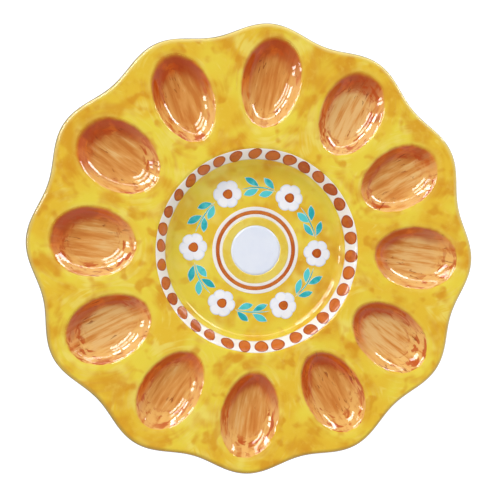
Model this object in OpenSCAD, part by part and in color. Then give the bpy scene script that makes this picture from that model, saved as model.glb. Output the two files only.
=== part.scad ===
// Egg platter: a scalloped earthenware plate with twelve egg-shaped wells pressed
// into its flange round a sunken middle, standing on a foot ring.
// Z is up. The origin is the centre of the foot ring's resting face.
// Coloured glazes are thin solids that lie on the clay where they were painted.

/* [Plate] */
// Egg wells, one under each lobe of the rim
well_count = 12; // [8:1:12]
// Radius of the rim, midway between a lobe and a hollow
rim_r = 160.5; // [157.5:0.5:180]
// How far a lobe swings out from that radius, and a hollow swings in
lobe_rise = 4; // [0:0.5:6]
// Thickness of the pressed clay
wall = 5.5; // [4:0.5:7]
// How far the flange climbs from the recess to the rim
flange_rise = 1.5; // [0:0.25:4]

/* [Egg wells] */
// How far the wells' middles stand in from the rim
ring_inset = 40.5; // [38:0.5:43]
// Length of a well where its glaze ends
well_l = 63; // [52:1:65]
// Width of a well where its glaze ends
well_w = 44.5; // [36:0.5:46]
// Depth of a well below the flange
well_depth = 10.5; // [7:0.5:14]
// Thickness of the glaze that lines a well
glaze_t = 0.4; // [0.2:0.1:0.8]

/* [Recess] */
// Radius at which the recess meets the flange
recess_r = 77; // [76:0.5:79]
// Radius of the flat floor of the recess
floor_r = 61; // [58:0.5:64]
// Depth of the floor below the flange
recess_depth = 15; // [10:0.5:20]

/* [Foot] */
// How far the foot ring stands in from the edge of the flat floor
foot_inset = 2; // [0:0.5:10]
// Width of the foot ring
foot_w = 8; // [6:0.5:14]
// Height of the foot ring
foot_h = 6; // [4:0.5:10]
// Radius of the foot ring's rounded edges
foot_edge_r = 1.5; // [0.5:0.25:2.5]

/* [Painted band] */
// Number of dots round the white band
dot_count = 34; // [20:1:44]
// White left between neighbouring dots
dot_gap = 3.1; // [1:0.1:4.5]
// White left beside the dots, along both edges of the band
dot_margin = 0.3; // [0.2:0.1:1.5]
// Thickness of the painted colours
paint_t = 0.3; // [0.2:0.1:0.5]

/* [Painted middle] */
// Radius of the white disc in the middle
disc_r = 18.5; // [12:0.5:22]
// Width of the yellow ring round it
yellow_ring_w = 6.5; // [3:0.25:8]
// Width of the white line inside the rust ring
inner_white_w = 2; // [1:0.25:3]
// Width of the rust ring
rust_ring_w = 3; // [2:0.25:4]
// Width of the white line outside the rust ring
outer_white_w = 2.5; // [1:0.25:3.5]
// Number of flowers in the garland
flower_count = 6; // [4:1:7]
// Width of the garland's stem
stem_w = 1; // [0.6:0.1:1.6]

/* [Hidden] */
$fn = 96;

// Heights that follow from the foot ring upwards
floor_z = foot_h + wall;
flange_z = floor_z + recess_depth;
rim_z = flange_z + flange_rise;

// Radii that follow from the rim, the floor and the painted rings
ring_r = rim_r - ring_inset;
foot_r = floor_r - foot_inset;
yellow_ring_r = disc_r + yellow_ring_w;
rust_in_r = yellow_ring_r + inner_white_w;
rust_out_r = rust_in_r + rust_ring_w;
white_ring_r = rust_out_r + outer_white_w;

// The rim is rounded over by half the clay's thickness
edge_r = wall / 2;
edge_angles = [30, -30];

// Each well was pressed by hand, so no two match: turns in degrees round the
// plate, twists in degrees of the long axis, and shares of ring_r, well_l, well_w
well_turns = [0.4, -0.3, -1.3, -1, -0.6, -0.8, -0.4, -0.1, 0.4, 0.1, 1.2, 0];
well_twists = [-4, 2, 6.5, -8.5, -5.5, -1.5, -4.5, -2, -1.5, -6.5, 1.5, -6];
ring_shares = [1, 0.99, 1.01, 1.015, 1.01, 1, 0.985, 1.005, 0.99, 1.005, 0.995, 0.995];
length_shares = [1.02, 0.99, 1.01, 1.03, 1, 0.98, 0.95, 0.98, 0.97, 1, 1.04, 1.04];
width_shares = [1.04, 1.01, 1.01, 0.96, 0.94, 1.07, 1.1, 1.06, 0.95, 0.96, 0.96, 1];

// An egg is blunter at its outer end by this share of its width
egg_share = 0.06;
// A section through a well: how full it is, and how soft its lip
fullness_share = 3.2;
softness_share = 0.17;
// Rings of points down a well, as shares of its outline; the glaze ends at 1
well_shares = [0.45, 0.68, 0.86, 1, 1.12];
bulge_shares = [0.55, 0.86, 1.1];
// How far the clay's underside stands out past the hollow that it follows,
// beside a well and at the two ends of the recess's wall
bulge_share = 0.55;
heel_share = 0.6;
hip_share = 0.25;
// Glaze thins to this share of its thickness where it ends
glaze_edge_share = 0.4;
// Steps down the recess's wall, from its floor to the flange, with the white
// band on its upper half
span_r = recess_r - floor_r;
band_in_share = 0.4;
band_out_share = 0.85;
band_mid_share = (band_in_share + band_out_share) / 2;
band_shares = [band_in_share, band_mid_share, band_out_share];
recess_shares = concat([0, band_in_share / 3, band_in_share * 2 / 3], band_shares);
heel_shares = [0, 0.25, 0.5, 0.75];
// Clearance that lets a curved band lie on the faceted clay
seat_gap = 0.1;

// Facets of one sector, which holds one well
sector = 360 / well_count;
outer_steps = 12;
inner_steps = 6;
side_steps = 5;

function pick(list, i) = list[i % len(list)];
function polar(r, a) = [r * cos(a), r * sin(a)];
function turned(p, a) = [p[0] * cos(a) - p[1] * sin(a), p[0] * sin(a) + p[1] * cos(a)];
function mix(a, b, share) = a + (b - a) * share;

// The flange: a shallow cone that ends where the lobed rim rounds over
function edge_at(a) = rim_r + lobe_rise * cos(well_count * a) - edge_r;
function flange_at(p) =
    let (start = edge_at(atan2(p[1], p[0])))
    mix(flange_z, rim_z, (norm(p) - recess_r) / (start - recess_r));
function raised(p, drop) = [p[0], p[1], flange_at(p) - drop];

// A well's own frame: its middle, the direction of its long axis and its size
function well_length(i) = well_l * pick(length_shares, i);
function well_width(i) = well_w * pick(width_shares, i);
function well_heading(i) = i * sector + pick(well_turns, i);
function well_middle(i) = polar(ring_r * pick(ring_shares, i), well_heading(i));
function well_axis(i) = well_heading(i) + pick(well_twists, i);
function egg(l, w, a) = [l / 2 * cos(a), w / 2 * (1 + egg_share * cos(a)) * sin(a)];

// How deep a well is at a share of its outline: 1 in the middle, soft at the lip
function softened(x) = (x + sqrt(x * x + softness_share * softness_share)) / 2;
function dip(share) = softened(1 - pow(share, fullness_share)) / softened(1);

// Directions of the points on the rim and on the edge of the recess, counted
// from the line between the last well and the first
function rim_angle(k) = (k % (well_count * outer_steps) / outer_steps - 0.5) * sector;
function recess_angle(k) = (k % (well_count * inner_steps) / inner_steps - 0.5) * sector;

// The border of one sector, anticlockwise: rim, side, edge of the recess, side
function side_point(a, share, inner_r) = polar(mix(edge_at(a), inner_r, share), a);
function border(i, inner_r) =
    let (start = rim_angle(i * outer_steps), end = rim_angle((i + 1) * outer_steps))
    concat(
        [for (k = [0:outer_steps - 1])
            side_point(rim_angle(i * outer_steps + k), 0, inner_r)],
        [for (k = [0:side_steps - 1]) side_point(end, k / side_steps, inner_r)],
        [for (k = [0:inner_steps - 1])
            side_point(recess_angle((i + 1) * inner_steps - k), 1, inner_r)],
        [for (k = [0:side_steps - 1]) side_point(start, 1 - k / side_steps, inner_r)]
    );

// A ring of points round a well, one towards each point of the sector's border
function headings(i, edge) = [
    for (p = edge)
        let (q = turned(p - well_middle(i), -well_axis(i)))
        atan2(q[1] / well_width(i), q[0] / well_length(i))
];
function well_ring(i, share, grow, drop, angles) = [
    for (a = angles)
        let (
            q = egg(well_length(i) + 2 * grow, well_width(i) + 2 * grow, a) * share,
            p = well_middle(i) + turned(q, well_axis(i))
        )
        raised(p, drop + well_depth * dip(share))
];
function lifted(ring, h) = [for (p = ring) p + [0, 0, h]];

// Triangles between two rings of points, and from one ring to a point
function strip(a, b) = [
    for (k = [0:len(a) - 1])
        let (m = (k + 1) % len(a))
        each [[a[k], b[k], b[m]], [a[k], b[m], a[m]]]
];
function fan(p, ring) = [
    for (k = [0:len(ring) - 1]) [p, ring[k], ring[(k + 1) % len(ring)]]
];
function strips(rings) = [for (k = [1:len(rings) - 1]) each strip(rings[k - 1], rings[k])];
function flipped(tris) = [for (t = tris) [t[0], t[2], t[1]]];

// Rings of a well's hollow, from the middle out, as far as the given share
function hollow_rings(i, last) =
    let (angles = headings(i, border(i, recess_r)))
    [for (s = well_shares) if (s <= last) well_ring(i, s, 0, 0, angles)];
function hollow_bottom(i) = raised(well_middle(i), well_depth);

// The flange round one well, above and below
function sector_top(i) =
    let (
        rings = hollow_rings(i, max(well_shares)),
        edge = [for (p = border(i, recess_r)) raised(p, 0)]
    )
    concat(fan(hollow_bottom(i), rings[0]), strips(concat(rings, [edge])));
function sector_under(i) =
    let (
        flat = border(i, hip_r),
        angles = headings(i, flat),
        rings = [for (s = bulge_shares) well_ring(i, s, wall * bulge_share, wall, angles)],
        edge = [for (p = flat) raised(p, wall)],
        bottom = raised(well_middle(i), wall + well_depth)
    )
    flipped(concat(fan(bottom, rings[0]), strips(concat(rings, [edge]))));

// The rounded rim, from the flange's upper face round to its lower one
rim_angles = [for (k = [0:well_count * outer_steps - 1]) rim_angle(k)];
function rim_ring(tilt) = [
    for (a = rim_angles)
        let (p = polar(edge_at(a) + edge_r * cos(tilt), a))
        [p[0], p[1], rim_z - edge_r + edge_r * sin(tilt)]
];
function rim_border(drop) = [for (a = rim_angles) raised(polar(edge_at(a), a), drop)];
function rim_roll() = strips(concat(
    [rim_border(0)],
    [for (tilt = edge_angles) rim_ring(tilt)],
    [rim_border(wall)]
));

// The recess: a flat floor and a wall that sweeps up in an S to the flange
hip_r = recess_r + wall * hip_share;
recess_angles = [for (k = [0:well_count * inner_steps - 1]) recess_angle(k)];
function sweep(share) = (1 - cos(180 * share)) / 2;
function wall_at(share) = [mix(floor_r, recess_r, share), mix(floor_z, flange_z, sweep(share))];
function heel_at(share) = [
    mix(floor_r + wall * heel_share, hip_r, share),
    mix(foot_h, flange_z - wall, sweep(share))
];
function round_ring(rz) = [
    for (a = recess_angles) [rz[0] * cos(a), rz[0] * sin(a), rz[1]]
];
function recess_border(r, drop) = [for (a = recess_angles) raised(polar(r, a), drop)];
function recess_top() =
    let (rings = [for (s = recess_shares) round_ring(wall_at(s))])
    concat(
        fan([0, 0, floor_z], rings[0]),
        strips(concat(rings, [recess_border(recess_r, 0)]))
    );
function recess_under() =
    let (rings = [for (s = heel_shares) round_ring(heel_at(s))])
    flipped(concat(
        fan([0, 0, foot_h], rings[0]),
        strips(concat(rings, [recess_border(hip_r, wall)]))
    ));

// A closed solid from its triangles, which are listed anticlockwise seen from outside
module solid(tris) {
    polyhedron(
        points = [for (t = tris) each t],
        faces = [for (k = [0:len(tris) - 1]) [3 * k + 2, 3 * k + 1, 3 * k]]
    );
}

// The pressed plate: flange, wells, recess and rim in one sheet of clay
module platter_shell() {
    color("#e0b43c")
        solid(concat(
            [for (i = [0:well_count - 1]) each sector_top(i)],
            [for (i = [0:well_count - 1]) each sector_under(i)],
            rim_roll(),
            recess_top(),
            recess_under()
        ));
}

// The foot ring, luted to the flat underside of the recess
module foot_ring() {
    foot_in = foot_r - foot_w;
    color("#d9b08c")
        rotate_extrude()
            union() {
                translate([foot_in, foot_edge_r])
                    square([foot_w, foot_h - foot_edge_r]);
                translate([foot_in + foot_edge_r, 0])
                    square([foot_w - 2 * foot_edge_r, foot_edge_r]);
                translate([foot_in + foot_edge_r, foot_edge_r])
                    circle(r = foot_edge_r);
                translate([foot_r - foot_edge_r, foot_edge_r])
                    circle(r = foot_edge_r);
            }
}

// The glaze in one well: it follows the clay and thins towards its edge
module well_glaze(i) {
    rings = hollow_rings(i, 1);
    last = len(rings) - 1;
    face = [
        for (k = [0:last]) lifted(rings[k], glaze_t * (k == last ? glaze_edge_share : 1))
    ];
    bottom = hollow_bottom(i);
    color("#cd8240")
        solid(concat(
            fan(bottom + [0, 0, glaze_t], face[0]),
            strips(face),
            strip(face[last], rings[last]),
            flipped(concat(fan(bottom, rings[0]), strips(rings)))
        ));
}

// A layer that lies on the recess's wall between the band's two edges
module band_layer(under, over) {
    slopes = [
        for (s = band_shares)
            atan(recess_depth / span_r * PI / 2 * sin(180 * s))
    ];
    function off_wall(k, h) = wall_at(band_shares[k]) + h * [-sin(slopes[k]), cos(slopes[k])];
    last = len(band_shares) - 1;
    rotate_extrude()
        polygon(concat(
            [for (k = [0:last]) off_wall(k, under)],
            [for (k = [last:-1:0]) off_wall(k, over)]
        ));
}

// The white band on the lip of the recess
module band_glaze() {
    color("#eeeef2")
        band_layer(seat_gap, seat_gap + paint_t);
}

// The dots fill the band but for the white left round each
band_mid_r = mix(floor_r, recess_r, band_mid_share);
dot_w = span_r * (band_out_share - band_in_share) - 2 * dot_margin;
dot_l = 2 * PI * band_mid_r / dot_count - dot_gap;

// A dot's outline, long along the band
module dot_outline() {
    square([dot_w, dot_l - dot_w], center = true);
    for (side = [-1, 1])
        translate([0, side * (dot_l - dot_w) / 2])
            circle(d = dot_w);
}

// The dots, painted over the white band
module band_dots() {
    color("#c3551f")
        intersection() {
            band_layer(seat_gap + paint_t, seat_gap + 2 * paint_t);
            for (k = [0:dot_count - 1])
                rotate(k * 360 / dot_count)
                    translate([band_mid_r, 0, floor_z])
                        linear_extrude(recess_depth + wall)
                            dot_outline();
        }
}

// A flat painted shape on the floor of the recess
module on_floor() {
    translate([0, 0, floor_z])
        linear_extrude(paint_t)
            children();
}

module ring_outline(inner, outer) {
    difference() {
        circle(r = outer);
        circle(r = inner);
    }
}

module centre_disc() {
    color("#e4e8f2")
        on_floor()
            circle(r = disc_r);
}

module yellow_ring() {
    color("#e6c346")
        on_floor()
            ring_outline(disc_r, yellow_ring_r);
}

module inner_white_ring() {
    color("#eeeef2")
        on_floor()
            ring_outline(yellow_ring_r, rust_in_r);
}

module rust_ring() {
    color("#c85f2d")
        on_floor()
            ring_outline(rust_in_r, rust_out_r);
}

module outer_white_ring() {
    color("#eeeef2")
        on_floor()
            ring_outline(rust_out_r, white_ring_r);
}

// The garland lies midway between the white line and the edge of the floor, and
// its flowers take up this share of that width
flower_share = 0.75;
garland_r = (white_ring_r + floor_r) / 2;
flower_r = (floor_r - white_ring_r) / 2 * flower_share;
petal_count = 6;
petal_share = 0.39;
heart_share = 0.34;
petal_r = flower_r * petal_share;
petal_reach = flower_r - petal_r;
heart_r = flower_r * heart_share;

// Flowers stand evenly, with pairs of leaves along the stem that is left between them
flower_gap = 360 / flower_count;
flower_angle = asin(flower_r / garland_r);
stem_angle = flower_gap - 2 * flower_angle;
leaf_pair_shares = [0.08, 0.5];
leaf_length_share = 0.48;
leaf_width_share = 0.42;
leaf_lean = 32;
leaf_l = garland_r * PI * stem_angle / 180 * leaf_length_share;
leaf_w = leaf_l * leaf_width_share;

module each_flower() {
    for (k = [0:flower_count - 1])
        rotate(k * flower_gap)
            translate([garland_r, 0])
                children();
}

module petals_outline() {
    for (k = [0:petal_count - 1])
        rotate(k * 360 / petal_count)
            translate([petal_reach, 0])
                circle(r = petal_r);
    circle(r = petal_reach);
}

module flower_petals() {
    color("#f0f0f4")
        on_floor()
            each_flower()
                difference() {
                    petals_outline();
                    circle(r = heart_r);
                }
}

module flower_hearts() {
    color("#d2662a")
        on_floor()
            each_flower()
                circle(r = heart_r);
}

// A pointed leaf between two arcs, with its base at the origin
module leaf_outline() {
    arc_r = (leaf_l * leaf_l + leaf_w * leaf_w) / (4 * leaf_w);
    translate([leaf_l / 2, 0])
        intersection() {
            translate([0, arc_r - leaf_w / 2])
                circle(r = arc_r);
            translate([0, leaf_w / 2 - arc_r])
                circle(r = arc_r);
        }
}

module leaves_outline() {
    for (k = [0:flower_count - 1], share = leaf_pair_shares, side = [-1, 1])
        rotate(k * flower_gap + flower_angle + share * stem_angle)
            translate([garland_r + side * stem_w, 0])
                rotate(90 - side * leaf_lean)
                    leaf_outline();
}

module garland_leaves() {
    color("#46bfc8")
        on_floor()
            leaves_outline();
}

module garland_stem() {
    color("#2f9aa0")
        on_floor()
            difference() {
                ring_outline(garland_r - stem_w / 2, garland_r + stem_w / 2);
                each_flower()
                    petals_outline();
                leaves_outline();
            }
}

platter_shell();
foot_ring();
for (i = [1:well_count])
    well_glaze(i - 1);
band_glaze();
band_dots();
centre_disc();
yellow_ring();
inner_white_ring();
rust_ring();
outer_white_ring();
flower_petals();
flower_hearts();
garland_leaves();
garland_stem();
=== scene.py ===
import math
import random

import bmesh
import bpy
import numpy as np
from mathutils import Matrix, Vector


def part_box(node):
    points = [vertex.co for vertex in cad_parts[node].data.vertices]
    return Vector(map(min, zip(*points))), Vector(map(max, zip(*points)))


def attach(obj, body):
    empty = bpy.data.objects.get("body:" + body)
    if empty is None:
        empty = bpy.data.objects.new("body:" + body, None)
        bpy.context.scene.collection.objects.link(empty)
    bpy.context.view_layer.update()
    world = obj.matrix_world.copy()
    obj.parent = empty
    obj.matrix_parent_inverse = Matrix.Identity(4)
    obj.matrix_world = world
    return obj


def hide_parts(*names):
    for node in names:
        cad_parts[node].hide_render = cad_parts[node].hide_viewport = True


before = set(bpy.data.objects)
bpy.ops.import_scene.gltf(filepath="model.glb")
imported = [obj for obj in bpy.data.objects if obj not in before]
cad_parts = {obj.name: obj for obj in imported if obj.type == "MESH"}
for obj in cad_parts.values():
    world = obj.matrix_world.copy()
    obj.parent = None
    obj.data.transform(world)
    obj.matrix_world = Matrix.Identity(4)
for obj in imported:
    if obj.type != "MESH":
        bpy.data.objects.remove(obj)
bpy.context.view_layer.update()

# The plate: one sheet of pressed earthenware, with a flat floor, a wall that sweeps up
# in an S, a flange with twelve egg wells and a rolled rim of twelve lobes. It is fired
# with a tin glaze and sponged with yellow and ochre on its upper side.
well_count = 12
rim_radius = 0.1605
lobe_rise = 0.004
clay = 0.0055
recess_radius = 0.077
floor_radius = 0.061
ring_radius = 0.120
well_length, well_width, well_depth = 0.063, 0.0445, 0.0105

foot_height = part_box("platter_shell")[0].z
rim_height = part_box("platter_shell")[1].z
floor_height = foot_height + clay
flange_rise = 0.0015
flange_height = rim_height - flange_rise
roll_radius = clay / 2
hip_radius = recess_radius + clay * 0.25
heel_radius = floor_radius + clay * 0.6
bulge = clay * 0.55

# Each well was pressed and painted by hand: turn round the plate and twist of its long
# axis in degrees, its distance, length and width as shares of the plain ones, and how
# thinly the colour was brushed over its bottom, from 0 to 1.
well_hands = [
    (0.4, -4, 1, 1.02, 1.04, 0.8),
    (-0.3, 2, 0.99, 0.99, 1.01, 0.6),
    (-1.3, 6.5, 1.01, 1.01, 1.01, 1),
    (-1, -8.5, 1.015, 1.03, 0.96, 0.2),
    (-0.6, -5.5, 1.01, 1, 0.94, 0),
    (-0.8, -1.5, 1, 0.98, 1.07, 0.3),
    (-0.4, -4.5, 0.985, 0.95, 1.1, 0.5),
    (-0.1, -2, 1.005, 0.98, 1.06, 0.8),
    (0.4, -1.5, 0.99, 0.97, 0.95, 0.3),
    (0.1, -6.5, 1.005, 1, 0.96, 0.4),
    (1.2, 1.5, 0.995, 1.04, 0.96, 0.1),
    (0, -6, 0.995, 1.04, 1, 0.9),
]
egg_share = 0.06
fullness = 3.2
softness = 0.17
reach = 1.6
unevenness = 0.00007
calm_margin = 0.012


class Well:
    """One pressed well: where it lies, which way it points and how large it is."""

    def __init__(self, number):
        turn, twist, out, longer, wider, thin = well_hands[number]
        heading = math.radians(360 / well_count * number + turn)
        axis = heading + math.radians(twist)
        self.number = number
        self.thin = thin
        self.middle = ring_radius * out * np.array([math.cos(heading), math.sin(heading)])
        self.along = np.array([math.cos(axis), math.sin(axis)])
        self.across = np.array([-math.sin(axis), math.cos(axis)])
        self.length = well_length * longer
        self.width = well_width * wider

    def place(self, share, angle):
        """Points of the plan at a share of the well's outline, in a direction."""
        u = self.length / 2 * share * np.cos(angle)
        v = self.width / 2 * share * (1 + egg_share * np.cos(angle)) * np.sin(angle)
        return self.middle + u[:, None] * self.along + v[:, None] * self.across

    def share(self, plan, grow=0.0):
        """The share of the well's outline at which each point of the plan lies."""
        u = (plan - self.middle) @ self.along / (self.length / 2 + grow)
        v = (plan - self.middle) @ self.across / (self.width / 2 + grow)
        share = np.hypot(u, v)
        for _ in range(6):
            nose = np.where(share > 1e-6, u / np.maximum(share, 1e-6), 0)
            share = np.hypot(u, v / (1 + egg_share * nose))
        return share


wells = [Well(number) for number in range(well_count)]


def soft(x):
    return (x + np.sqrt(x * x + softness * softness)) / 2


def dip(share):
    """How deep a well is at a share of its outline: 1 in the middle, 0 far outside."""
    fade = np.clip((reach - share) / (reach - 1), 0, 1)
    return soft(1 - np.minimum(share, reach) ** fullness) / soft(1) * fade * fade * (3 - 2 * fade)


def pressed(plan, grow=0.0):
    """How far the wells lower the sheet of clay at points of the plan."""
    return well_depth * sum(dip(well.share(plan, grow)) for well in wells)


def uneven(plan):
    """The slight unevenness that pressing leaves, always downwards."""
    x, y = plan[:, 0], plan[:, 1]
    swell = (
        np.sin(95 * x + 41 * y + 0.6)
        + np.sin(-58 * x + 88 * y + 2.1)
        + 0.6 * np.sin(171 * x - 120 * y + 4.0)
        + 0.5 * np.sin(140 * x + 190 * y + 1.3)
    )
    return unevenness * (swell - 3.1)


def edge_at(angle):
    """Radius at which the flange ends and the rim rolls over."""
    return rim_radius - roll_radius + lobe_rise * np.cos(well_count * angle)


def flange(plan):
    """Height of the flange's upper face, with its wells."""
    radius = np.hypot(plan[:, 0], plan[:, 1])
    edge = edge_at(np.arctan2(plan[:, 1], plan[:, 0]))
    climb = (radius - recess_radius) / (edge - recess_radius)
    calm = np.clip(np.minimum(radius - recess_radius, edge - radius) / calm_margin, 0, 1)
    return flange_height + flange_rise * climb + uneven(plan) * calm - pressed(plan)


def sweep(share):
    return (1 - math.cos(math.pi * share)) / 2


def wall_at(share):
    """Radius and height of the recess's wall, from its floor to the flange."""
    radius = floor_radius + (recess_radius - floor_radius) * share
    return radius, floor_height + (flange_height - floor_height) * sweep(share)


def heel_at(share):
    radius = heel_radius + (hip_radius - heel_radius) * share
    return radius, foot_height + (flange_height - clay - foot_height) * sweep(share)


def steps(start, end, count):
    return [start + (end - start) * k / count for k in range(count + 1)]


def turned(profile, count, closed=False):
    """A mesh turned about Z from a profile of radius and height."""
    work = bmesh.new()
    points = [work.verts.new((radius, 0, height)) for radius, height in profile]
    ends = points[1:] + points[:1] if closed else points[1:]
    edges = [work.edges.new(pair) for pair in zip(points, ends)]
    bmesh.ops.spin(
        work, geom=points + edges, cent=(0, 0, 0), axis=(0, 0, 1), dvec=(0, 0, 0),
        angle=2 * math.pi, steps=count, use_merge=True, use_normal_flip=False,
        use_duplicate=False,
    )
    bmesh.ops.remove_doubles(work, verts=work.verts, dist=1e-7)
    bmesh.ops.recalc_face_normals(work, faces=work.faces)
    mesh = bpy.data.meshes.new("turned")
    work.to_mesh(mesh)
    work.free()
    return mesh


def points_of(mesh):
    found = np.empty(len(mesh.vertices) * 3)
    mesh.vertices.foreach_get("co", found)
    return found.reshape(-1, 3)


def move_to(mesh, points):
    mesh.vertices.foreach_set("co", np.asarray(points, float).ravel())
    mesh.update()


def mark(mesh, name, values):
    """Keeps a number for each point, which the glaze reads."""
    layer = mesh.attributes.new(name, "FLOAT", "POINT")
    layer.data.foreach_set("value", np.asarray(values, np.float32))


def face_out(mesh):
    """Turns every face outwards and shades it smooth."""
    work = bmesh.new()
    work.from_mesh(mesh)
    bmesh.ops.recalc_face_normals(work, faces=work.faces)
    for face in work.faces:
        face.smooth = True
    work.to_mesh(mesh)
    work.free()


def piece(name, mesh, glaze, slot, *nodes):
    """Puts a finished mesh on the plate, in place of the CAD nodes it stands for."""
    face_out(mesh)
    mesh.materials.append(glaze)
    made = bpy.data.objects.new(name, mesh)
    bpy.context.scene.collection.objects.link(made)
    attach(made, "root")
    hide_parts(*nodes)
    return made


edge_radius = rim_radius - roll_radius
plate_profile = (
    [(radius, floor_height) for radius in steps(0, floor_radius, 5)[:-1]]
    + [wall_at(share) for share in steps(0, 1, 14)]
    + [(radius, rim_height) for radius in steps(recess_radius, edge_radius, 72)[1:]]
    + [
        (
            edge_radius + roll_radius * math.sin(math.pi * share),
            rim_height - roll_radius * (1 - math.cos(math.pi * share)),
        )
        for share in steps(0, 1, 9)[1:]
    ]
    + [(radius, rim_height - clay) for radius in steps(edge_radius, hip_radius, 22)[1:-1]]
    + [heel_at(share) for share in steps(1, 0, 8)]
    + [(radius, foot_height) for radius in steps(heel_radius, 0, 3)[1:]]
)
plate = turned(plate_profile, 720)
plate.name = "clay_plate"

points = points_of(plate)
radius = np.hypot(points[:, 0], points[:, 1])
angle = np.arctan2(points[:, 1], points[:, 0])
edge = edge_at(angle)
on_roll = radius > edge_radius + 1e-6
share = np.clip((radius - recess_radius) / (edge_radius - recess_radius), 0, None)
lobed = recess_radius + share * (edge - recess_radius)
lobed = np.where(on_roll, radius - edge_radius + edge, lobed)
lobed = np.where(radius <= recess_radius + 1e-6, radius, lobed)
plan = np.stack([lobed * np.cos(angle), lobed * np.sin(angle)], 1)
above = points[:, 2] > rim_height - roll_radius
upper = above & ~on_roll & (radius > recess_radius + 1e-6)
lower = ~above & ~on_roll & (radius > hip_radius - 1e-6)
height = points[:, 2].copy()
height[upper] = flange(plan[upper])
climb = (lobed - recess_radius) / (edge - recess_radius)
height[lower] = (
    flange_height - clay + flange_rise * climb[lower] - pressed(plan[lower], bulge)
)
move_to(plate, np.column_stack([plan, height]))

well_share = np.min([well.share(plan) for well in wells], 0)
mark(plate, "well_share", np.where(above, well_share, 2))
climb = np.clip((radius - heel_radius) / (hip_radius - heel_radius), 0, 1)
heel = foot_height + (flange_height - clay - foot_height) * (1 - np.cos(math.pi * climb)) / 2
mark(plate, "glazed_side", above | (radius < hip_radius) & (points[:, 2] > heel + clay * 0.4))
mark(plate, "rim_share", np.clip((lobed - edge) / roll_radius + 1, 0, 2) / 2)
mark(plate, "recess_share", np.clip((recess_radius - radius) / 0.006, 0, 1))
# How far round the rim a point lies, from its upper side (0) to its lower side (1); it drives the
# rim's painted light and shade.
mark(plate, "rim_shade_side", 0.5 - 0.5 * np.sin(angle + 0.09))


glaze_ior = 1.54


def paint(red, green, blue):
    """A colour as a screen shows it, 0 to 255, turned into light."""
    def light(level):
        level = level / 255
        return level / 12.92 if level <= 0.04045 else ((level + 0.055) / 1.055) ** 2.4
    return light(red), light(green), light(blue), 1


class Measure:
    """A number that changes over a surface; sums and products add Math nodes."""

    def __init__(self, glaze, socket):
        self.glaze = glaze
        self.socket = socket

    def reckon(self, operation, first, second):
        return self.glaze.add("ShaderNodeMath", {"operation": operation}, {0: first, 1: second})

    def __add__(self, other):
        return self.reckon("ADD", self, other)

    def __sub__(self, other):
        return self.reckon("SUBTRACT", self, other)

    def __rsub__(self, other):
        return self.reckon("SUBTRACT", other, self)

    def __mul__(self, other):
        return self.reckon("MULTIPLY", self, other)

    __radd__ = __add__


class Glaze:
    """One fired finish: a Principled shader and the nodes that colour it."""

    def __init__(self, name, roughness=0.12):
        self.material = bpy.data.materials.new(name)
        self.material.use_nodes = True
        self.tree = self.material.node_tree
        self.shader = self.tree.nodes["Principled BSDF"]
        self.shader.inputs["Roughness"].default_value = roughness
        self.shader.inputs["IOR"].default_value = glaze_ior
        self.place = self.add("ShaderNodeTexCoord", {}, {}, "Object")

    def add(self, kind, settings, sockets, output=0):
        node = self.tree.nodes.new(kind)
        for name, value in settings.items():
            setattr(node, name, value)
        for name, value in sockets.items():
            self.give(node.inputs[name], value)
        return Measure(self, node.outputs[output])

    def give(self, socket, value):
        if isinstance(value, Measure):
            self.tree.links.new(value.socket, socket)
        else:
            socket.default_value = value

    def set(self, **sockets):
        for name, value in sockets.items():
            self.give(self.shader.inputs[name.replace("_", " ")], value)

    def blend(self, share, first, second, mode="MIX"):
        settings = {"data_type": "RGBA", "blend_type": mode}
        return self.add("ShaderNodeMix", settings, {0: share, 6: first, 7: second}, 2)

    def between(self, value, low, high):
        """0 below low, 1 above high, and smooth between them."""
        settings = {"interpolation_type": "SMOOTHSTEP"}
        return self.add("ShaderNodeMapRange", settings, {0: value, 1: low, 2: high})

    def cloud(self, scale, detail=3.0, where=None, roughness=0.55, twist=0.0, shift=(0, 0, 0),
              stretch=(1, 1, 1)):
        """Soft noise, about 0.5 on average."""
        where = where or self.place
        if shift != (0, 0, 0) or stretch != (1, 1, 1):
            sockets = {"Vector": where, "Location": shift, "Scale": stretch}
            where = self.add("ShaderNodeMapping", {}, sockets)
        sockets = {
            "Vector": where, "Scale": scale, "Detail": detail, "Roughness": roughness,
            "Distortion": twist,
        }
        return self.add("ShaderNodeTexNoise", {}, sockets)

    def kept(self, name, output="Fac"):
        """A number that the mesh keeps for each of its points."""
        return self.add("ShaderNodeAttribute", {"attribute_name": name}, {}, output)

    def relief(self, height):
        """Bumps that stand as high as the height says, in metres."""
        sockets = {"Strength": 1.0, "Distance": 1.0, "Height": height}
        self.set(Normal=self.add("ShaderNodeBump", {}, sockets))


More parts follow.
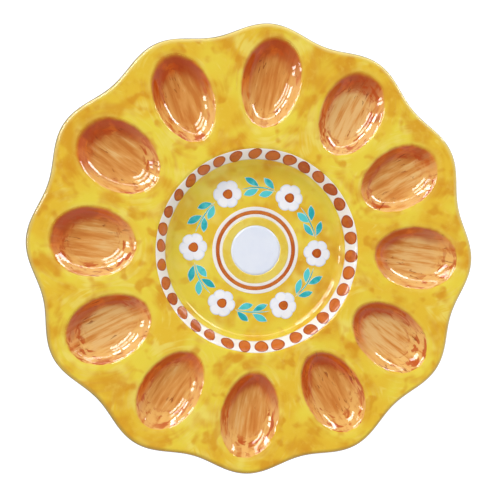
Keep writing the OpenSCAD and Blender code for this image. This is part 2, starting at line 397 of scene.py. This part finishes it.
def sponged_yellow(glaze, share, sunken=0.0):
    """The yellow ground: lemon over white, with ochre dabbed on and brushed round the wells."""
    lemon, honey = paint(229, 205, 66), paint(226, 184, 50)
    ochre, pale = paint(214, 154, 34), paint(234, 214, 104)
    out = glaze.add("ShaderNodeVectorMath", {"operation": "LENGTH"}, {0: glaze.place}, "Value")
    out = glaze.between(out, 0.118, 0.16)
    broad = glaze.between(glaze.cloud(26, 2, twist=0.3) + out * 0.08, 0.42, 0.64)
    colour = glaze.blend(broad, lemon, honey)
    round_well = glaze.add("ShaderNodeCombineXYZ", {}, {2: share * 9})
    slow = glaze.add("ShaderNodeVectorMath", {"operation": "SCALE"}, {0: glaze.place, 3: 34})
    brushed_round = glaze.add("ShaderNodeVectorMath", {}, {0: slow, 1: round_well})
    drawn = glaze.cloud(1.0, 2, where=brushed_round)
    wiped = glaze.between(glaze.cloud(52, 2, shift=(0, 7, 2)) * 0.6 + drawn * 0.4, 0.5, 0.64)
    colour = glaze.blend(wiped * 0.7, colour, pale)
    dabs = glaze.cloud(54, 1.6, shift=(3, 1, 0)) * 0.8 + drawn * 0.2
    dabs = glaze.between(dabs + out * 0.04 - sunken * 0.04, 0.47, 0.67)
    colour = glaze.blend(dabs * 0.9, colour, ochre)
    touches = glaze.between(glaze.cloud(92, 1, shift=(1, 8, 4)), 0.56, 0.72)
    colour = glaze.blend(touches * (0.7 - sunken * 0.3), colour, paint(210, 142, 28))
    thin = glaze.between(glaze.cloud(230, 2, shift=(2, 2, 1)), 0.5, 0.8)
    colour = glaze.blend(thin * 0.3, colour, paint(233, 201, 88))
    # A paler ring just outside each well's lip, broken up by noise.
    pale_lip_ring = glaze.between(share, 1.0, 1.05) * (1 - glaze.between(share, 1.07, 1.17))
    pale_lip_ring = pale_lip_ring * glaze.between(glaze.cloud(44, 1, shift=(6, 6, 1)), 0.3, 0.6)
    return glaze.blend(pale_lip_ring * 0.16, colour, paint(235, 214, 112))


def yellow_gloss(glaze):
    return glaze.cloud(40, 3) * 0.05 + 0.01


def yellow_relief(glaze):
    """How the ground's glaze stands, in metres: broad waves and small dimples."""
    return glaze.cloud(45, 2) * 0.00026 + glaze.cloud(150, 2) * 0.00007


yellow = Glaze("sponged_yellow_glaze", roughness=0.1)
ground = sponged_yellow(yellow, yellow.kept("well_share"), yellow.kept("recess_share"))
# Painted light and shade on the rolled rim: paler on its upper side and darker olive on its lower
# side, as light falling from above leaves it.
rim_lit_and_shaded = yellow.blend(yellow.kept("rim_shade_side"), paint(236, 216, 132), paint(176, 136, 52))
brink = yellow.between(yellow.kept("rim_share") + yellow.cloud(70, 2) * 0.2, 0.32, 0.88)
ground = yellow.blend(brink * 0.85, ground, rim_lit_and_shaded)
# The outermost edge of the roll turns dark olive: glaze breaking thin over the edge, plus painted
# shade where the roll turns under.
worn_and_shaded_edge = yellow.between(yellow.kept("rim_share") + yellow.cloud(90, 2) * 0.2, 0.88, 0.97)
ground = yellow.blend(worn_and_shaded_edge * 0.9, ground, paint(108, 94, 48))
cream = yellow.blend(
    yellow.between(yellow.cloud(35, 4), 0.4, 0.7), paint(236, 228, 206), paint(226, 214, 184)
)
side = yellow.between(yellow.kept("glazed_side") + yellow.cloud(60, 3) * 0.2 - 0.1, 0.35, 0.65)
yellow.set(Base_Color=yellow.blend(side, cream, ground))
yellow.set(Roughness=yellow_gloss(yellow))
yellow.relief(yellow_relief(yellow))
piece("clay_plate", plate, yellow.material, "yellow_glaze", "platter_shell")

# The foot: a ring of bare clay, turned and luted to the flat underside, and wiped
# clean of glaze so that it doesn't stick to the kiln shelf.
foot_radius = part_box("foot_ring")[1].x
foot_width = 0.008
foot_edge = 0.0015


def rounded(inner, outer, low, high, edge, count=5):
    """A closed section with its two lower corners rounded."""
    right = [
        (
            outer - edge + edge * math.sin(math.pi / 2 * k),
            low + edge - edge * math.cos(math.pi / 2 * k),
        )
        for k in steps(0, 1, count)
    ]
    left = [(inner + outer - r, z) for r, z in reversed(right)]
    flat = [(r, low) for r in steps(inner + edge, outer - edge, 4)[1:-1]]
    sides = [(outer, (low + edge + high) / 2), (outer, high)]
    back = [(inner, high), (inner, (low + edge + high) / 2)]
    return flat + right + sides + back + left


foot = turned(
    rounded(foot_radius - foot_width, foot_radius, 0, foot_height, foot_edge), 240, closed=True
)
points = points_of(foot)
angle = np.arctan2(points[:, 1], points[:, 0])
ripple = 0.00008 * (np.sin(7 * angle) + np.sin(13 * angle + 1) - 2)
out = np.hypot(points[:, 0], points[:, 1])
middle = foot_radius - foot_width / 2
nearer = (out + ripple * np.sign(out - middle)) / out
points[:, :2] *= nearer[:, None]
move_to(foot, points)

bare = Glaze("bare_earthenware", roughness=0.75)
grain = bare.cloud(900, 3)
colour = bare.blend(
    bare.between(bare.cloud(70, 4), 0.35, 0.7), paint(214, 168, 132), paint(196, 142, 104)
)
colour = bare.blend(bare.between(grain, 0.6, 0.72) * 0.5, colour, paint(232, 204, 176))
bare.set(Base_Color=colour, Roughness=grain * 0.2 + 0.62)
bare.relief(grain * 0.00012)
piece("foot", foot, bare.material, "bare_clay", "foot_ring")

# The wells' lining: orange-brown colour brushed lengthwise into each well over the tin
# glaze. It pools dark on the walls, thins to pale streaks in the bottom and feathers
# into the yellow at the lip, where the yellow ground runs on. The walls on each well's
# window side, which face away from the light, carry painted shade, and the walls
# opposite carry painted light.
lining_thickness = 0.00016
lining_reach = 1.12
lining_rows = 26
sunk = 0.0002
# Direction from a well's middle towards the windows: the lining paints shade on the walls on this
# side and light on the walls opposite.
to_far_side = np.array([-0.42, 0.91])


def brushed_orange():
    glaze = Glaze("brushed_orange_glaze", roughness=0.06)
    grown, thin, far = glaze.kept("well_share"), glaze.kept("thin"), glaze.kept("far_side")
    bed = glaze.add("ShaderNodeUVMap", {"uv_map": "brush"}, {})
    round_it = glaze.kept("round_well", "Vector")
    strokes = glaze.cloud(1.0, 3, where=bed, stretch=(2.2, 15, 1), twist=0.3)
    fine = glaze.cloud(1.0, 3, where=bed, stretch=(5, 44, 1), roughness=0.6, twist=0.2)
    rings = glaze.cloud(1.0, 3, where=round_it, stretch=(2.4, 2.4, 9), twist=0.4)
    patches = glaze.cloud(64, 2, shift=(5, 2, 0))
    full, light = paint(203, 122, 50), paint(221, 154, 78)
    colour = glaze.blend(glaze.between(strokes + thin * 0.16, 0.36, 0.66), full, light)
    pale = glaze.between(strokes + fine * 0.5 + thin * 0.34, 0.88, 1.18)
    colour = glaze.blend(pale * 0.85, colour, paint(233, 190, 124))
    # The walls' dark pooled colour, laid on more heavily and further in on the window side (far
    # near 1) as painted shade, since those walls face away from the light.
    pooled_and_shaded_wall = glaze.blend(glaze.between(rings, 0.34, 0.66), paint(198, 74, 8), paint(219, 108, 16))
    thick = glaze.between(patches * 0.6 + rings * 0.4 + far * 0.1, 0.48, 0.6)
    pooled_and_shaded_wall = glaze.blend(thick * 0.8, pooled_and_shaded_wall, paint(172, 58, 14))
    wall = glaze.between(grown + patches * 0.24 + far * 0.14, 0.68, 0.98)
    colour = glaze.blend(wall * (0.56 + far * 0.38), colour, pooled_and_shaded_wall)
    # Painted light: walls on the side away from the windows (far below 0), which face the light,
    # are washed paler.
    near = glaze.between(0.0 - far, -0.5, 0.5) * glaze.between(grown, 0.45, 0.75)
    near = near * glaze.between(rings * 0.6 + strokes * 0.4, 0.34, 0.54)
    colour = glaze.blend(near * 0.75, colour, paint(236, 186, 104))
    pooled = glaze.cloud(1.0, 2, where=round_it, stretch=(2.6, 2.6, 10), shift=(3, 3, 3), twist=0.4)
    pooled = glaze.between(pooled, 0.5, 0.63) * glaze.between(grown, 0.5, 0.72)
    pooled = pooled * glaze.between(glaze.cloud(30, 1, shift=(9, 1, 2)), 0.44, 0.56)
    colour = glaze.blend(pooled * 0.85, colour, paint(188, 74, 20))
    marks = glaze.cloud(1.0, 2, where=bed, stretch=(7, 30, 1), shift=(2, 5, 1), twist=1.0)
    marked = glaze.between(glaze.cloud(50, 1, shift=(4, 4, 4)), 0.5, 0.6)
    marks = glaze.between(marks, 0.6, 0.68) * marked
    colour = glaze.blend(marks * glaze.between(grown, 0.1, 0.4) * 0.8, colour, paint(146, 60, 20))
    brim = grown + (glaze.cloud(110, 3) - 0.5) * 0.09 + (glaze.cloud(40, 2) - 0.5) * 0.06
    # The lip's fade is wider on the window side, a painted shade spreading past the lip there, and
    # narrow opposite.
    lip = glaze.between(brim, 0.965 - far * 0.03, 1.05 + far * 0.04)
    glaze.set(Base_Color=glaze.blend(lip, colour, sponged_yellow(glaze, grown)))
    gloss = fine * 0.04 + 0.01
    glaze.set(Roughness=gloss + lip * (yellow_gloss(glaze) - gloss))
    relief = strokes * 0.00008 + fine * 0.00003 + glaze.cloud(120, 1) * 0.00008
    glaze.relief(relief + lip * (yellow_relief(glaze) - relief))
    return glaze.material


def line_well(well):
    """A thin shell that follows the clay and feathers out past the lip."""
    over = [(share, 1) for share in steps(0, lining_reach, lining_rows)]
    under = [(share, 0) for share in steps(lining_reach, 0, lining_rows)[1:]]
    mesh = turned(over + under, 88)
    unit = points_of(mesh)
    share = np.hypot(unit[:, 0], unit[:, 1])
    angle = np.arctan2(unit[:, 1], unit[:, 0])
    plan = well.place(share, angle)
    lift = lining_thickness * np.clip((1.07 - share) / 0.2, -0.25, 1)
    lift = np.where(unit[:, 2] > 0.5, lift, lift - sunk)
    move_to(mesh, np.column_stack([plan, flange(plan) + lift]))
    mark(mesh, "well_share", share)
    mark(mesh, "thin", np.full(len(share), well.thin))
    # How far each point lies towards the windows across the well, for the lining's painted shade
    # and painted light.
    far = (plan - well.middle) @ to_far_side / (well_width / 2)
    mark(mesh, "far_side", np.clip(far, -1, 1))
    hand = random.Random(well.number)
    offset = np.array([hand.uniform(0, 20), hand.uniform(0, 20)])
    local = (plan - well.middle) @ np.column_stack([well.along, well.across]) / well_length
    swirl = mesh.attributes.new("round_well", "FLOAT_VECTOR", "POINT")
    round_it = np.column_stack([np.cos(angle), np.sin(angle), share + offset[0]])
    swirl.data.foreach_set("vector", round_it.astype(np.float32).ravel())
    corners = np.empty(len(mesh.loops), int)
    mesh.loops.foreach_get("vertex_index", corners)
    sheet = mesh.uv_layers.new(name="brush")
    sheet.data.foreach_set("uv", (local + offset)[corners].ravel())
    return mesh


orange = brushed_orange()
for well in wells:
    name = f"well_lining_{well.number + 1}"
    piece(name, line_well(well), orange, "orange_glaze", f"well_glaze_{well.number + 1}")

# The white band: tin-white glaze left bare between two painted lines on the slope of
# the recess. Its two edges wander a little, as a brush on a turntable does.
band_low, band_high = 0.4, 0.85
coat_thickness = 0.00015


def slope_at(share):
    rise = (flange_height - floor_height) * math.pi / 2 * np.sin(math.pi * share)
    return np.arctan2(rise, recess_radius - floor_radius)


def on_wall(share, angle, lift):
    """Points that stand off the recess's wall by a lift along its normal."""
    share = np.asarray(share, float)
    radius = floor_radius + (recess_radius - floor_radius) * share
    height = floor_height + (flange_height - floor_height) * (1 - np.cos(math.pi * share)) / 2
    slope = slope_at(share)
    radius = radius - lift * np.sin(slope)
    height = height + lift * np.cos(slope)
    return np.column_stack([radius * np.cos(angle), radius * np.sin(angle), height])


def wander(angle, seed, size, quickest):
    """A hand-drawn line's drift from the true circle, in slow and quicker waves."""
    hand = random.Random(seed)
    waves = [(hand.randint(2, quickest), hand.uniform(0, 6.3)) for _ in range(8)]
    return size / 3 * sum(np.sin(count * angle + start) / count ** 0.4 for count, start in waves)


def strip(count=420, rows=10):
    """A closed flat strip: radius runs from 1 to 2 across it, height from 0 to 1."""
    over = [(1 + share, 1) for share in steps(0, 1, rows)]
    under = [(1 + share, 0) for share in steps(1, 0, rows)]
    return turned(over + under, count, closed=True)


def unit_strip(mesh):
    unit = points_of(mesh)
    return np.hypot(unit[:, 0], unit[:, 1]) - 1, np.arctan2(unit[:, 1], unit[:, 0]), unit[:, 2]


def glossy_white(name, tint, cool):
    glaze = Glaze(name, roughness=0.08)
    colour = glaze.blend(glaze.between(glaze.cloud(45, 3), 0.4, 0.7), tint, cool)
    specks = glaze.between(glaze.cloud(420, 2), 0.7, 0.8)
    glaze.set(Base_Color=glaze.blend(specks * 0.35, colour, paint(214, 196, 170)))
    glaze.set(Roughness=glaze.cloud(60, 2) * 0.06 + 0.05)
    glaze.relief(glaze.cloud(90, 2) * 0.0002 + glaze.cloud(260, 2) * 0.00004)
    return glaze.material


band = strip(480, 12)
across, angle, lift = unit_strip(band)
low = band_low + wander(angle, 3, 0.014, 24)
high = band_high + wander(angle, 4, 0.014, 24)
rounding = np.clip(np.minimum(across, 1 - across) / 0.08, 0, 1)
move_to(band, on_wall(
    low + (high - low) * across, angle,
    np.where(lift > 0.5, coat_thickness * (0.15 + 0.85 * rounding), -0.00025),
))
white = glossy_white("tin_white_glaze", paint(240, 234, 228), paint(232, 228, 224))
piece("white_band", band, white, "white_glaze", "band_glaze")

# The dots: thirty-four dabs of rust colour set round the white band with one touch of a
# full brush each, so the colour gathers darker at their edges.
dot_count = 34
dot_length, dot_width = 0.0101, 0.0067


def dab(rings=7, count=32):
    """A round lens of paint, one unit in radius and from 0 to 1 in height."""
    over = [
        (math.sin(math.pi / 2 * k), 0.35 + 0.65 * math.cos(math.pi / 2 * k))
        for k in steps(0, 1, rings)
    ]
    under = [(1, 0)] + [(share, 0) for share in steps(1, 0, 3)[1:]]
    return turned(over + under, count)


def dabs(placed):
    """Copies of one dab, each moved by its own function, in one mesh."""
    unit = dab()
    shape = points_of(unit)
    work = bmesh.new()
    for _ in placed:
        work.from_mesh(unit)
    mesh = bpy.data.meshes.new("dabs")
    work.to_mesh(mesh)
    work.free()
    move_to(mesh, np.concatenate([put(shape) for put in placed]))
    hand = random.Random(len(placed))
    shades = [hand.random() * 1.6 - 0.6 for _ in placed]
    mark(mesh, "shade", np.repeat(shades, len(shape)))
    mark(mesh, "from_middle", np.tile(np.hypot(shape[:, 0], shape[:, 1]), len(placed)))
    return mesh


def brushed(name, light, full, rim, inside=0.86, roughness=0.1):
    """A brushed colour that changes to the colour of its rim at the edge of each stroke."""
    glaze = Glaze(name, roughness=roughness)
    edge = glaze.kept("from_middle")
    shade = glaze.kept("shade")
    body = glaze.cloud(160, 4, twist=0.6)
    colour = glaze.blend(glaze.between(body + shade * 0.3, 0.45, 0.85), light, full)
    gathered = glaze.between(edge + glaze.cloud(240, 2) * 0.3, inside, inside + 0.26)
    colour = glaze.blend(gathered * 0.8, colour, rim)
    glaze.set(Base_Color=colour)
    glaze.set(Roughness=body * 0.08 + 0.05)
    glaze.relief(body * 0.0001)
    return glaze.material


def put_dot(number):
    hand = random.Random(100 + number)
    where = 2 * math.pi * number / dot_count + hand.uniform(-0.012, 0.012)
    wide = dot_length / 2 * hand.uniform(0.9, 1.1)
    tall = dot_width / 2 * hand.uniform(0.92, 1.06)
    lean = hand.uniform(-0.2, 0.2)
    start = hand.uniform(0, 6.3)
    drift = hand.uniform(-0.0003, 0.0003)

    def put(shape):
        round_it = np.arctan2(shape[:, 1], shape[:, 0])
        lumpy = 1 + 0.05 * np.sin(2 * round_it + start) + 0.04 * np.sin(3 * round_it + 2 * start)
        u, v = shape[:, 0] * wide * lumpy, shape[:, 1] * tall * lumpy
        u, v = u * math.cos(lean) - v * math.sin(lean), u * math.sin(lean) + v * math.cos(lean)
        middle = (band_low + band_high) / 2
        radius = wall_at(middle)[0]
        share = middle + (v + drift) / (recess_radius - floor_radius)
        return on_wall(share, where + u / radius, coat_thickness * 0.7 + shape[:, 2] * 0.0002)

    return put


rust = brushed("rust_colour", paint(203, 106, 34), paint(178, 78, 16), paint(148, 58, 18))
dots = dabs([put_dot(number) for number in range(dot_count)])
piece("band_dabs", dots, rust, "rust_paint", "band_dots")

# The middle: a disc of pale tin white, banded on the turntable with a yellow ring, a
# white line, a rust line and a white line. The colours meet along one wandering edge.
ring_radii = [0.0185, 0.025, 0.0271, 0.0299, 0.0325]
ring_drifts = [0.00016, 0.00014, 0.00014, 0.00016, 0.0002]
disc_thickness = 0.00022


def ring_edge(number, angle):
    return ring_radii[number] + wander(angle, 20 + number, ring_drifts[number], 9)


def on_floor(radius, angle, lift):
    return np.column_stack([radius * np.cos(angle), radius * np.sin(angle), floor_height + lift])


def floor_ring(inner, thick):
    """A ring of colour between two drawn edges, with softly rounded shoulders."""
    mesh = strip(360, 8)
    across, angle, lift = unit_strip(mesh)
    near, far = ring_edge(inner, angle), ring_edge(inner + 1, angle)
    shoulder = np.clip(np.minimum(across, 1 - across) / 0.15, 0, 1)
    lift = np.where(lift > 0.5, thick * (0.55 + 0.45 * shoulder), -sunk)
    move_to(mesh, on_floor(near + (far - near) * across, angle, lift))
    mark(mesh, "from_middle", np.abs(across * 2 - 1))
    mark(mesh, "shade", 0.5 + 0.5 * np.sin(2 * angle + inner))
    return mesh


def floor_disc():
    over = [(share, 1) for share in steps(0, 1, 10)]
    under = [(share, 0) for share in steps(1, 0, 3)]
    mesh = turned(over + under, 240)
    unit = points_of(mesh)
    across, angle = np.hypot(unit[:, 0], unit[:, 1]), np.arctan2(unit[:, 1], unit[:, 0])
    shoulder = np.clip((1 - across) / 0.06, 0, 1)
    lift = np.where(unit[:, 2] > 0.5, disc_thickness * (0.55 + 0.45 * shoulder), -sunk)
    move_to(mesh, on_floor(ring_edge(0, angle) * across, angle, lift))
    return mesh


cool_white = glossy_white("cool_white_glaze", paint(226, 231, 242), paint(220, 226, 240))
piece("middle_disc", floor_disc(), cool_white, "white_glaze", "centre_disc")
gold = brushed("yellow_colour", paint(228, 204, 92), paint(223, 190, 66), paint(234, 217, 134))
piece("yellow_line", floor_ring(0, 0.0002), gold, "yellow_paint", "yellow_ring")
piece("inner_white_line", floor_ring(1, 0.00012), white, "white_glaze", "inner_white_ring")
line = brushed("rust_line_colour", paint(204, 116, 48), paint(186, 90, 32), paint(164, 76, 30))
piece("rust_line", floor_ring(2, 0.00022), line, "rust_paint", "rust_ring")
piece("outer_white_line", floor_ring(3, 0.00012), white, "white_glaze", "outer_white_ring")

# The garland: six white flowers with rust hearts, joined by a thin stem with pairs of
# teal leaves. Every petal and leaf is one stroke of a loaded brush, in relief.
flower_count, petal_count = 6, 6
garland_radius = (ring_radii[-1] + floor_radius) / 2
flower_radius = (floor_radius - ring_radii[-1]) / 2 * 0.75
flower_gap = 2 * math.pi / flower_count
flower_angle = math.asin(flower_radius / garland_radius)
stem_angle = flower_gap - 2 * flower_angle
leaf_pairs = [0.08, 0.5]
leaf_lean = math.radians(32)
leaf_length = garland_radius * stem_angle * 0.48
leaf_width = leaf_length * 0.42
stroke_sunk = 0.00003


def stroke(start, heading, length, width, thick, tip, lift=0.0, bend=0.0):
    """A brush stroke on the floor from its start, blunt at tip 0 and pointed at 1."""
    ahead = np.array([math.cos(heading), math.sin(heading)])
    aside = np.array([-math.sin(heading), math.cos(heading)])

    def put(shape):
        u = (shape[:, 0] + 1) / 2
        narrow = np.clip(1 - shape[:, 0] ** 2, 0, 1) ** (tip / 2)
        v = shape[:, 1] * width / 2 * narrow * (0.8 + 0.4 * u) + bend * length * u * u
        plan = np.array(start) + u[:, None] * length * ahead + v[:, None] * aside
        return np.column_stack([plan, floor_height + lift + thick * shape[:, 2] - stroke_sunk])

    return put


def polar(radius, angle):
    return np.array([radius * math.cos(angle), radius * math.sin(angle)])


petals, hearts, leaves, stems = [], [], [], []
hand = random.Random(7)
for flower in range(flower_count):
    middle = polar(garland_radius, flower * flower_gap)
    turn = hand.uniform(-0.2, 0.2)
    for petal in range(petal_count):
        heading = turn + petal * 2 * math.pi / petal_count + hand.uniform(-0.06, 0.06)
        long = flower_radius * hand.uniform(0.94, 1.0)
        petals.append(stroke(
            middle + polar(flower_radius * 0.12, heading), heading, long * 0.88,
            flower_radius * hand.uniform(0.8, 0.9), 0.00022, 0, 0.00001 * petal,
        ))
    across = polar(flower_radius * 0.34, turn)
    hearts.append(stroke(
        middle - across, turn, flower_radius * 0.68, flower_radius * 0.66, 0.00012, 0, 0.0002
    ))
    for pair in leaf_pairs:
        base = flower * flower_gap + flower_angle + pair * stem_angle
        for aside in (-1, 1):
            heading = base + math.pi / 2 - aside * leaf_lean * hand.uniform(0.9, 1.15)
            leaves.append(stroke(
                polar(garland_radius + aside * 0.0008, base), heading,
                leaf_length * hand.uniform(0.88, 1.0), leaf_width * hand.uniform(0.85, 1.05),
                0.0002, 1.2, 0.0, aside * 0.08,
            ))
    first = flower * flower_gap + flower_angle * 1.05
    last = (flower + 1) * flower_gap - flower_angle * 1.05
    stems.append((first, last))


def put_stem(first, last, width=0.001):
    def put(shape):
        angle = first + (last - first) * (shape[:, 0] + 1) / 2
        radius = garland_radius + shape[:, 1] * width / 2 + 0.0003 * np.sin(9 * angle)
        return on_floor(radius, angle, shape[:, 2] * 0.00015 - stroke_sunk)
    return put


petal_white = brushed(
    "petal_white", paint(240, 240, 244), paint(232, 234, 242), paint(206, 214, 232)
)
piece("petals", dabs(petals), petal_white, "white_glaze", "flower_petals")
piece("hearts", dabs(hearts), rust, "rust_paint", "flower_hearts")
teal = brushed("teal_colour", paint(86, 200, 204), paint(36, 164, 174), paint(224, 238, 242), 0.92)
piece("leaves", dabs(leaves), teal, "teal_paint", "garland_leaves")
piece("stem", dabs([put_stem(*ends) for ends in stems]), teal, "teal_paint", "garland_stem")

# The setting: a pale table that the camera sees as white but for the platter's shadow,
# soft daylight from the far side, and the panes of the windows that it comes through,
# which the glaze mirrors.
table = bmesh.new()
bmesh.ops.create_grid(table, x_segments=2, y_segments=2, size=4.0)
table_mesh = bpy.data.meshes.new("table")
table.to_mesh(table_mesh)
table.free()
table_top = bpy.data.objects.new("table", table_mesh)
bpy.context.scene.collection.objects.link(table_top)

cloth = Glaze("pale_table", roughness=0.9)
cloth.set(Base_Color=(0.5, 0.5, 0.5, 1))
ray = "ShaderNodeLightPath"
rays = cloth.add(ray, {}, {}, "Is Camera Ray") + cloth.add(ray, {}, {}, "Is Glossy Ray")
rays = rays + cloth.add(ray, {}, {}, "Is Transmission Ray")
glow = cloth.add("ShaderNodeEmission", {}, {"Color": (1, 1, 1, 1), "Strength": 0.72})
body = Measure(cloth, cloth.shader.outputs[0])
both = cloth.add("ShaderNodeAddShader", {}, {0: body, 1: glow})
shown = cloth.add("ShaderNodeMixShader", {}, {0: rays, 1: body, 2: both})
cloth.tree.links.new(shown.socket, cloth.tree.nodes["Material Output"].inputs["Surface"])
table_mesh.materials.append(cloth.material)

window_distance = 4.0
pane_levels = (19, 10, 12)


def window(name, azimuth, elevation, wide, tall, level, mirrored):
    """A pane that faces the platter; its width and height are angles, its level a radiance."""
    light = bpy.data.lights.new(name, "AREA")
    light.shape = "RECTANGLE"
    light.size = 2 * window_distance * math.tan(math.radians(wide / 2))
    light.size_y = 2 * window_distance * math.tan(math.radians(tall / 2))
    light.energy = level * math.pi * light.size * light.size_y
    lamp = bpy.data.objects.new(name, light)
    a, e = math.radians(azimuth), math.radians(elevation)
    ahead = Vector((math.cos(a) * math.cos(e), math.sin(a) * math.cos(e), math.sin(e)))
    lamp.location = window_distance * ahead
    lamp.rotation_mode = "QUATERNION"
    lamp.rotation_quaternion = (-ahead).to_track_quat("-Z", "Y")
    lamp.visible_diffuse = not mirrored
    lamp.visible_glossy = mirrored
    bpy.context.scene.collection.objects.link(lamp)


window("far_left_daylight", 124, 29, 34, 12, 7, False)
window("side_daylight", 176, 26, 8, 10, 7, False)
window("right_daylight", 66, 34, 12, 12, 5, False)
for column in range(3):
    for row in range(3):
        name = f"pane_{column + 1}_{row + 1}"
        window(name, 121 + 16 * column, 21 + 14 * row, 12, 7, pane_levels[row], True)
window("lintel", 84, 22, 54, 4, 6, True)
window("right_pane", 44, 20, 24, 7, 16, True)
window("side_pane_1", 178, 24, 5, 10, 14, True)
window("side_pane_2", 187, 24, 5, 10, 14, True)

room = bpy.data.worlds.new("room")
room.use_nodes = True
sky = room.node_tree
facing = sky.nodes.new("ShaderNodeTexCoord")
slant = sky.nodes.new("ShaderNodeVectorMath")
slant.operation = "DOT_PRODUCT"
slant.inputs[1].default_value = (-0.03, 0.14, -0.36)
level = sky.nodes.new("ShaderNodeMath")
level.inputs[1].default_value = 1.12
mirrored = sky.nodes.new("ShaderNodeLightPath")
upward = sky.nodes.new("ShaderNodeSeparateXYZ")
ceiling = sky.nodes.new("ShaderNodeMapRange")
ceiling.inputs["From Max"].default_value = 0.5
ceiling.inputs["To Min"].default_value = 0.85
ceiling.inputs["To Max"].default_value = 0.25
dimmed = sky.nodes.new("ShaderNodeMapRange")
dimmed.inputs["To Min"].default_value = 1.0
strength = sky.nodes.new("ShaderNodeMath")
strength.operation = "MULTIPLY"
sky.links.new(facing.outputs["Generated"], slant.inputs[0])
sky.links.new(slant.outputs["Value"], level.inputs[0])
sky.links.new(facing.outputs["Generated"], upward.inputs[0])
sky.links.new(upward.outputs["Z"], ceiling.inputs["Value"])
sky.links.new(ceiling.outputs["Result"], dimmed.inputs["To Max"])
sky.links.new(mirrored.outputs["Is Glossy Ray"], dimmed.inputs["Value"])
sky.links.new(level.outputs["Value"], strength.inputs[0])
sky.links.new(dimmed.outputs["Result"], strength.inputs[1])
sky.links.new(strength.outputs["Value"], sky.nodes["Background"].inputs["Strength"])
sky.nodes["Background"].inputs["Color"].default_value = (1, 1, 1, 1)
bpy.context.scene.world = room
bpy.context.scene.view_settings.view_transform = "Standard"

camera_place = Vector((-0.09105, 0.0224, 0.5642))
camera_target = Vector((-0.00685, 0.0007, 0.028))
camera_roll = math.radians(3.2)
camera = bpy.data.cameras.new("camera")
camera.lens, camera.sensor_width = 54, 36
viewer = bpy.data.objects.new("camera", camera)
back = (camera_place - camera_target).normalized()
right = Vector((-math.sin(camera_roll), math.cos(camera_roll), 0)).cross(back).normalized()
turn_of = Matrix((right, back.cross(right), back)).transposed()
viewer.matrix_world = Matrix.Translation(camera_place) @ turn_of.to_4x4()
bpy.context.scene.collection.objects.link(viewer)
bpy.context.scene.camera = viewer
